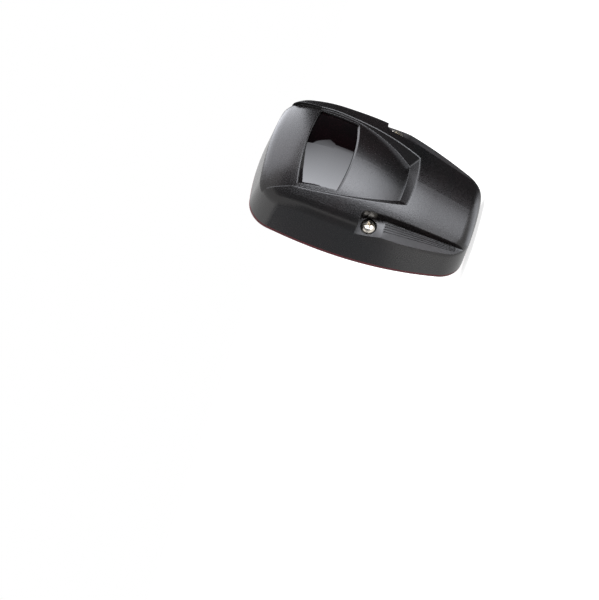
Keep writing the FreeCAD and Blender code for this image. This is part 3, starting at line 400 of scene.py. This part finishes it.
SCREW_SIDES = 64
DOME_STEPS = 12
HEAD_RADIUS = 3.2 * MM
HEAD_HEIGHT = 3.2 * MM
RIM_HEIGHT = 1.5 * MM
RIM_SOFTNESS = 0.35 * MM
DOME_RADIUS = HEAD_RADIUS - RIM_SOFTNESS * 0.2
SHANK_RADIUS = 1.5 * MM
TIP_RADIUS = SHANK_RADIUS * 0.3
SHARP_ANGLE = math.radians(35)
CAD_HEAD_RADIUS = 2.8 * MM
CAD_HEAD_HEIGHT = 2.3 * MM
CROSS_LENGTH = 1.75 * MM
CROSS_WIDTH = 0.46 * MM
CROSS_DEPTH = 1.7 * MM
CROSS_ABOVE = 1 * MM
CROSS_TOP_SHARES = (1.35, 1.15)
CROSS_FLOOR_SHARES = (0.45, 0.7)
CROSS_TURN = math.radians(24)
SQUARE = ((-1, -1), (1, -1), (1, 1), (-1, 1))


def new_mesh(name, points, faces):
    mesh = bpy.data.meshes.new(name)
    mesh.from_pydata(points, [], faces)
    return mesh


def add_object(name, mesh):
    item = bpy.data.objects.new(name, mesh)
    scene.collection.objects.link(item)
    return item


def turned_mesh(name, profile):
    """Closed form turned about the Z axis from (radius, height) points that start and end on the axis."""
    points = [(0, 0, profile[0][1])]
    faces = []
    rings = profile[1:-1]
    for radius, height in rings:
        for side in range(SCREW_SIDES):
            angle = 2 * math.pi * side / SCREW_SIDES
            points.append((radius * math.cos(angle), radius * math.sin(angle), height))
    points.append((0, 0, profile[-1][1]))
    last = len(points) - 1
    foot = 1 + (len(rings) - 1) * SCREW_SIDES
    for side in range(SCREW_SIDES):
        following = (side + 1) % SCREW_SIDES
        faces.append((0, 1 + side, 1 + following))
        for ring in range(len(rings) - 1):
            upper = 1 + ring * SCREW_SIDES
            lower = upper + SCREW_SIDES
            faces.append((upper + side, lower + side, lower + following, upper + following))
        faces.append((last, foot + following, foot + side))
    return new_mesh(name, points, faces)


def screw_profile(length):
    """Domed pan head with a rounded rim, and a plain shank down to length below the seat."""
    profile = [(0.0, HEAD_HEIGHT)]
    rise = HEAD_HEIGHT - RIM_HEIGHT
    for step in range(1, DOME_STEPS + 1):
        angle = math.radians(90) * step / DOME_STEPS
        profile.append((DOME_RADIUS * math.sin(angle), RIM_HEIGHT + rise * math.cos(angle)))
    profile += [
        (HEAD_RADIUS, RIM_HEIGHT - RIM_SOFTNESS),
        (HEAD_RADIUS, RIM_SOFTNESS),
        (HEAD_RADIUS - RIM_SOFTNESS, 0.0),
        (SHANK_RADIUS, 0.0),
        (SHANK_RADIUS, -length + SHANK_RADIUS),
        (TIP_RADIUS, -length),
        (0.0, -length),
    ]
    return profile


def cross_mesh():
    """Cross recess that narrows towards its floor, as two crossing bars with sloping ends."""
    points = []
    faces = []
    levels = (
        (HEAD_HEIGHT + CROSS_ABOVE, *CROSS_TOP_SHARES),
        (HEAD_HEIGHT - CROSS_DEPTH, *CROSS_FLOOR_SHARES),
    )
    for crosswise in (False, True):
        first = len(points)
        for height, length, width in levels:
            for x, y in SQUARE:
                along = x * CROSS_LENGTH * length
                across = y * CROSS_WIDTH * width
                points.append((-across, along, height) if crosswise else (along, across, height))
        a, b, c, d, e, f, g, h = range(first, first + 8)
        faces += [(a, b, c, d), (h, g, f, e), (a, e, f, b), (b, f, g, c), (c, g, h, d), (d, h, e, a)]
    return new_mesh("cross", points, faces)


def recessed_screw(length):
    """One screw that stands on the Z axis with its seat at nought, and has the cross cut into its head."""
    body = add_object("screw", turned_mesh("screw", screw_profile(length)))
    cross = add_object("cross", cross_mesh())
    cross.rotation_euler.z = CROSS_TURN
    cut = body.modifiers.new("recess", "BOOLEAN")
    cut.object = cross
    cut.operation = "DIFFERENCE"
    cut.solver = "EXACT"
    cut.use_self = True
    graph = bpy.context.evaluated_depsgraph_get()
    mesh = bpy.data.meshes.new_from_object(body.evaluated_get(graph))
    for item in (body, cross):
        bpy.data.objects.remove(item)
    return mesh


def add_screws(material):
    """One piece with both cover screws, seated where the solids' screws are."""
    low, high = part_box("cover_screws")
    seat = low.y + CAD_HEAD_HEIGHT
    across = high.x - CAD_HEAD_RADIUS
    level = (low.z + high.z) / 2
    screw = recessed_screw(high.y - seat)
    outward = Matrix.Rotation(math.radians(90), 4, "X")
    pair = bmesh.new()
    for x in (-across, across):
        first = len(pair.verts)
        pair.from_mesh(screw)
        pair.verts.ensure_lookup_table()
        placed = Matrix.Translation((x, seat, level)) @ outward
        bmesh.ops.transform(pair, matrix=placed, verts=pair.verts[first:])
    mesh = bpy.data.meshes.new("cover_screw_pair")
    pair.to_mesh(mesh)
    pair.free()
    mesh.materials.clear()
    mesh.materials.append(material)
    mesh.shade_smooth()
    mesh.set_sharp_from_angle(angle=SHARP_ANGLE)
    screws = add_object("cover_screw_pair", mesh)
    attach(screws, "root")
    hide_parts("cover_screws")


# Floor and light

WORLD_FILL = 0.55
FLOOR_HALF = 4.0
FLOOR_GAP = 0.2 * MM
FLOOR_GRAIN = 3 * MM
FLOOR_COLOURS = ((0.79, 0.79, 0.79), (0.81, 0.81, 0.81))
FLOOR_ROUGHNESS = 0.9
FLOOR_LIFT = 0.72
KEY_POWER = 16.0
KEY_SIZE = 0.9
KEY_HEADING = (40, 50)
KEY_DISTANCE = 1.4
PANEL_COLOUR = (0.92, 0.94, 1.0, 1)
FOOT_FADE = 0.3

# Panels: name, corners as azimuth and elevation in degrees, distance, strength at the left and right end,
# and for the first one the share of it that is left at the lower edge.
REFLECTORS = [
    (
        "front_softbox",
        [(0, -40), (34, -40), (36, -20), (38.5, -3), (44, 5), (37, 27), (10, 25), (-4, 22), (-3, -12)],
        1.0, 12.0, 1.2, 0.42,
    ),
    (
        "upper_softbox",
        [(12, 40), (45, 29), (66, 18), (95, 17), (130, 26), (130, 64), (80, 76), (12, 66)],
        1.15, 3.6, 4.7,
    ),
    (
        "right_flag",
        [(30, -40), (78, -43), (122, -40), (122, 30), (78, 32), (30, 32)],
        1.5, 0.0, 0.12,
    ),
    (
        "camera_side_flag",
        [(-62, -20), (8, -30), (10, 46), (-32, 46), (-62, 34)],
        1.5, 0.25, 0.25,
    ),
    (
        "near_side_flag",
        [(-172, -14), (-125, -16), (-78, -14), (-78, 9), (-125, 10), (-172, 9)],
        1.5, 0.35, 0.35,
    ),
    (
        "foot_softbox",
        [(60, -46), (100, -42), (150, -46), (150, -84), (60, -84)],
        1.2, 2.8, 2.8,
    ),
]


def seen_share(tree):
    """One for rays from the camera, a reflection or a clear material, nought for the rest."""
    paths = tree.nodes.new("ShaderNodeLightPath")
    share = paths.outputs["Is Camera Ray"]
    for name in ("Is Glossy Ray", "Is Transmission Ray"):
        share = add_math(tree, "MAXIMUM", share, paths.outputs[name])
    return share


def add_world():
    """White surroundings that look brighter than the light they give."""
    world = bpy.data.worlds.new("studio")
    scene.world = world
    world.use_nodes = True
    tree = world.node_tree
    background = tree.nodes["Background"]
    background.inputs["Color"].default_value = WHITE
    strength = add_range(tree, seen_share(tree), WORLD_FILL, 1.0, 0.0, 1.0)
    tree.links.new(strength, background.inputs["Strength"])


def add_stage_piece(name, points, faces, material):
    mesh = new_mesh(name, points, faces)
    mesh.materials.append(material)
    item = add_object(name, mesh)
    return item


def add_floor():
    """Pale floor just under the object.

    A little light of its own for the camera makes it white outside the shadow."""
    material, tree, shader = new_material("floor_paint")
    shade = add_range(tree, add_noise(tree, object_place(tree), FLOOR_GRAIN), 0.0, 1.0)
    tree.links.new(add_colours(tree, shade, *FLOOR_COLOURS), shader.inputs["Base Color"])
    shader.inputs["Roughness"].default_value = FLOOR_ROUGHNESS
    shader.inputs["Specular IOR Level"].default_value = 0.0
    shader.inputs["Emission Color"].default_value = WHITE
    lift = add_range(tree, seen_share(tree), 0.0, FLOOR_LIFT, 0.0, 1.0)
    tree.links.new(lift, shader.inputs["Emission Strength"])
    level = cad_box[0][2] - FLOOR_GAP
    points = [(x * FLOOR_HALF, y * FLOOR_HALF, level) for x, y in SQUARE]
    floor = add_stage_piece("floor", points, [(0, 1, 2, 3)], material)
    floor.visible_glossy = False


def heading(azimuth, elevation):
    """Direction from the object: azimuth 0 is straight ahead of the window, 90 towards +X."""
    turn = math.radians(azimuth)
    rise = math.radians(elevation)
    level = math.cos(rise)
    return Vector((math.sin(turn) * level, -math.cos(turn) * level, math.sin(rise)))


def add_key():
    """Soft lamp above and to the right; its shape in reflections is the upper softbox."""
    data = bpy.data.lights.new("key", "AREA")
    data.energy = KEY_POWER
    data.size = KEY_SIZE
    key = add_object("key", data)
    place = heading(*KEY_HEADING) * KEY_DISTANCE
    aim = place.to_track_quat("Z", "Y").to_matrix().to_4x4()
    key.matrix_world = Matrix.Translation(place) @ aim
    key.visible_camera = False
    key.visible_glossy = False


def add_reflector(name, corners, distance, left, right, foot=1.0):
    """Studio panel that only shows in reflections, so that it adds no light to the object's own colours.

    Its strength goes evenly from left to right across it, and foot is the share left at its lower edge."""
    material = bpy.data.materials.new(name)
    material.use_nodes = True
    tree = material.node_tree
    tree.nodes.clear()
    glow = tree.nodes.new("ShaderNodeEmission")
    glow.inputs["Color"].default_value = PANEL_COLOUR
    output = tree.nodes.new("ShaderNodeOutputMaterial")
    tree.links.new(glow.outputs["Emission"], output.inputs["Surface"])
    points = [heading(*corner) * distance for corner in corners]
    sides = [point.x for point in points]
    lowest = min(point.z for point in points)
    axes = add_axes(tree, object_place(tree))
    strength = add_range(tree, axes[0], left, right, min(sides), max(sides))
    share = add_range(tree, axes[2], foot, 1.0, lowest, lowest + FOOT_FADE * distance)
    tree.links.new(add_product(tree, strength, share), glow.inputs["Strength"])
    panel = add_stage_piece(name, points, [tuple(range(len(points)))], material)
    panel.visible_camera = False
    panel.visible_diffuse = False
    panel.visible_transmission = False
    panel.visible_shadow = False


add_camera()
materials = dress_nodes()
add_screws(materials["screw_steel"])
add_world()
add_floor()
add_key()
for reflector in REFLECTORS:
    add_reflector(*reflector)
